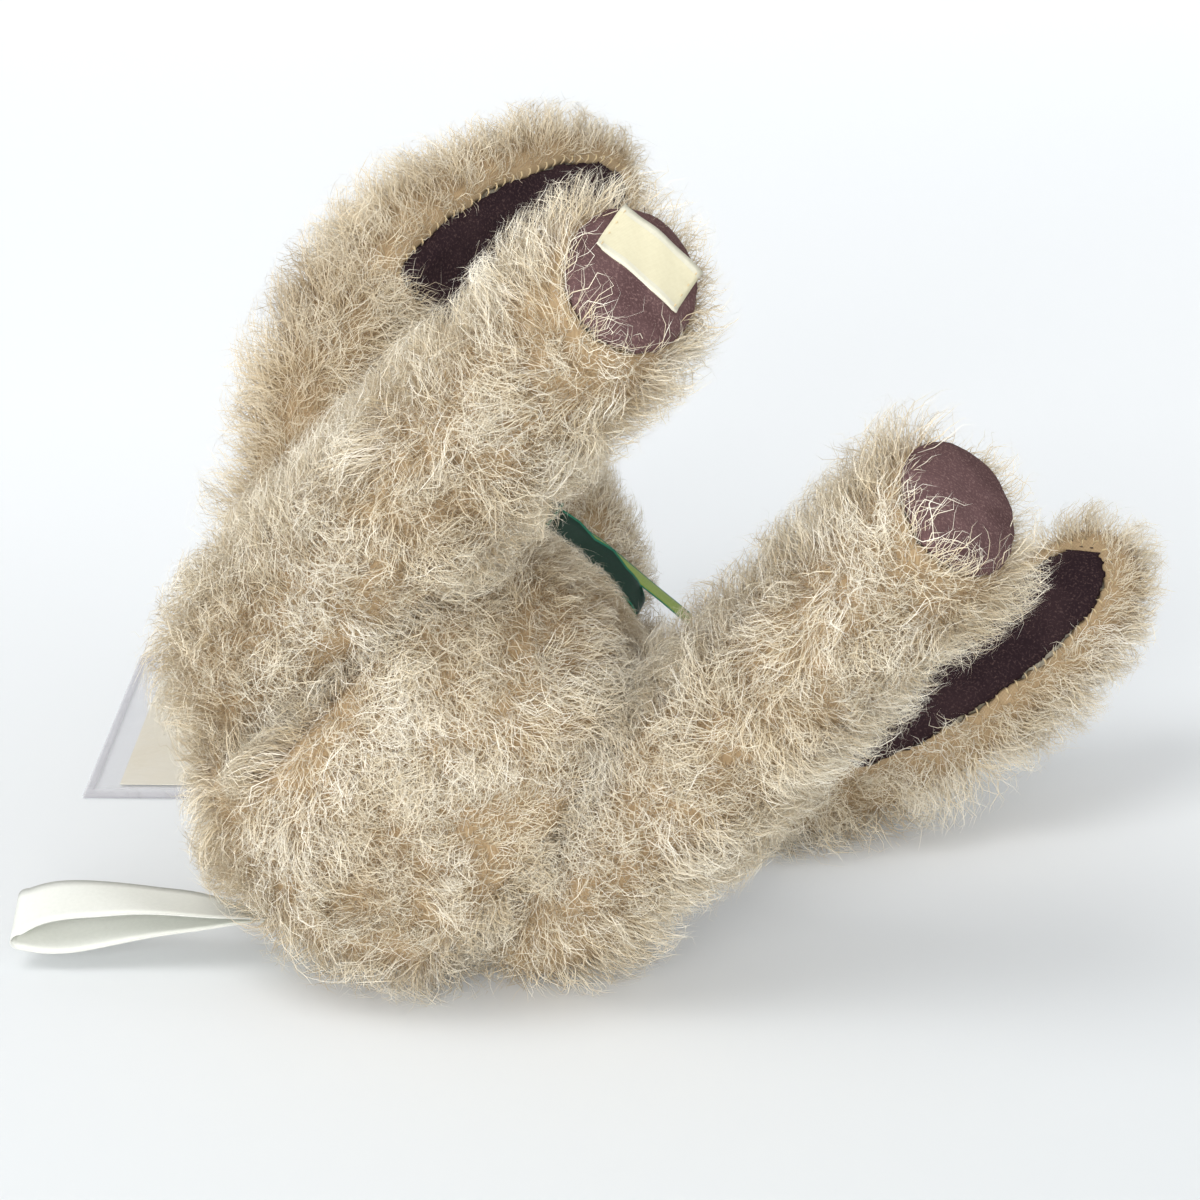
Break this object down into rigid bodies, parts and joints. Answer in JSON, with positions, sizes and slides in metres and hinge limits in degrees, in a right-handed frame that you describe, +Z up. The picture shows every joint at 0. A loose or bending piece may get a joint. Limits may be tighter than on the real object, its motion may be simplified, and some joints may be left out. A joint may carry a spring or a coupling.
{
  "type": "jointed teddy bear",
  "caption": "Curly mohair teddy bear with jointed head, arms and legs, felt paw and foot pads, glass eyes and a neck ribbon, lying on its back and left side.",
  "frame": {"origin": "on the floor, under the middle of the overall box", "axes": "+Z up from the floor; +Y from the bear's feet towards its head, as it lies; +X towards the bear's left side"},
  "size_m": [0.3544, 0.354, 0.2434],
  "materials": {
    "mohair": "curly mohair pile, beige with paler tips",
    "filling": "loose fibre filling",
    "foot_felt": "dense reddish brown wool felt",
    "paw_felt": "dense dark wool felt",
    "board": "pressed fibreboard",
    "steel": "plain steel",
    "eye": "polished dark brown glass",
    "floss": "stranded embroidery cotton",
    "ribbon": "woven satin ribbon with a lime edge",
    "tape": "woven white tape",
    "sole_tape": "woven cream tape",
    "film": "clear film",
    "card": "plain cream card"
  },
  "bodies": {
    "torso": {"body_skin": "mohair", "body_stuffing": "filling", "left_shoulder_body_disc": "board", "left_shoulder_body_washer": "steel", "right_shoulder_body_disc": "board", "right_shoulder_body_washer": "steel", "left_hip_body_disc": "board", "left_hip_body_washer": "steel", "right_hip_body_disc": "board", "right_hip_body_washer": "steel", "neck_body_disc": "board", "neck_body_washer": "steel", "neck_ribbon": "ribbon", "seam_label": "tape", "tag_sleeve": "film", "tag_card": "card"},
    "head": {"head_skin": "mohair", "head_stuffing": "filling", "left_ear": "mohair", "right_ear": "mohair", "left_eye": "eye", "right_eye": "eye", "nose_stitching": "floss", "mouth_stitching": "floss", "neck_limb_disc": "board", "neck_limb_washer": "steel", "neck_split_pin": "steel"},
    "left_arm": {"left_arm_skin": "mohair", "left_arm_stuffing": "filling", "left_paw_pad": "paw_felt", "left_shoulder_limb_disc": "board", "left_shoulder_limb_washer": "steel", "left_shoulder_split_pin": "steel"},
    "left_leg": {"left_leg_skin": "mohair", "left_leg_stuffing": "filling", "left_foot_pad": "foot_felt", "left_hip_limb_disc": "board", "left_hip_limb_washer": "steel", "left_hip_split_pin": "steel"},
    "right_arm": {"right_arm_skin": "mohair", "right_arm_stuffing": "filling", "right_paw_pad": "paw_felt", "right_shoulder_limb_disc": "board", "right_shoulder_limb_washer": "steel", "right_shoulder_split_pin": "steel"},
    "right_leg": {"right_leg_skin": "mohair", "right_leg_stuffing": "filling", "right_foot_pad": "foot_felt", "right_hip_limb_disc": "board", "right_hip_limb_washer": "steel", "right_hip_split_pin": "steel", "foot_label": "sole_tape"}
  },
  "joints": [
    {"name": "neck_turn", "type": "hinge", "parent": "torso", "child": "head", "pos_m": [-0.04409, 0.05088, 0.06192], "axis": [0, 0.9966, -0.0823], "continuous": true},
    {"name": "left_shoulder_turn", "type": "hinge", "parent": "torso", "child": "left_arm", "pos_m": [0.00078, 0.02058, 0.02675], "axis": [0.1992, 0.5895, -0.7828], "range_deg": [-45, 137]},
    {"name": "right_shoulder_turn", "type": "hinge", "parent": "torso", "child": "right_arm", "pos_m": [-0.08765, 0.02688, 0.10309], "axis": [0.7526, -0.6574, -0.0388], "range_deg": [-3, 179]},
    {"name": "left_hip_turn", "type": "hinge", "parent": "torso", "child": "left_leg", "pos_m": [-0.01688, -0.08889, 0.04981], "axis": [0.7559, -0.0539, -0.6525], "range_deg": [-36, 83]},
    {"name": "right_hip_turn", "type": "hinge", "parent": "torso", "child": "right_leg", "pos_m": [-0.0713, -0.08501, 0.09679], "axis": [0.7559, -0.0539, -0.6525], "range_deg": [-43.5, 75.5]}
  ]
}
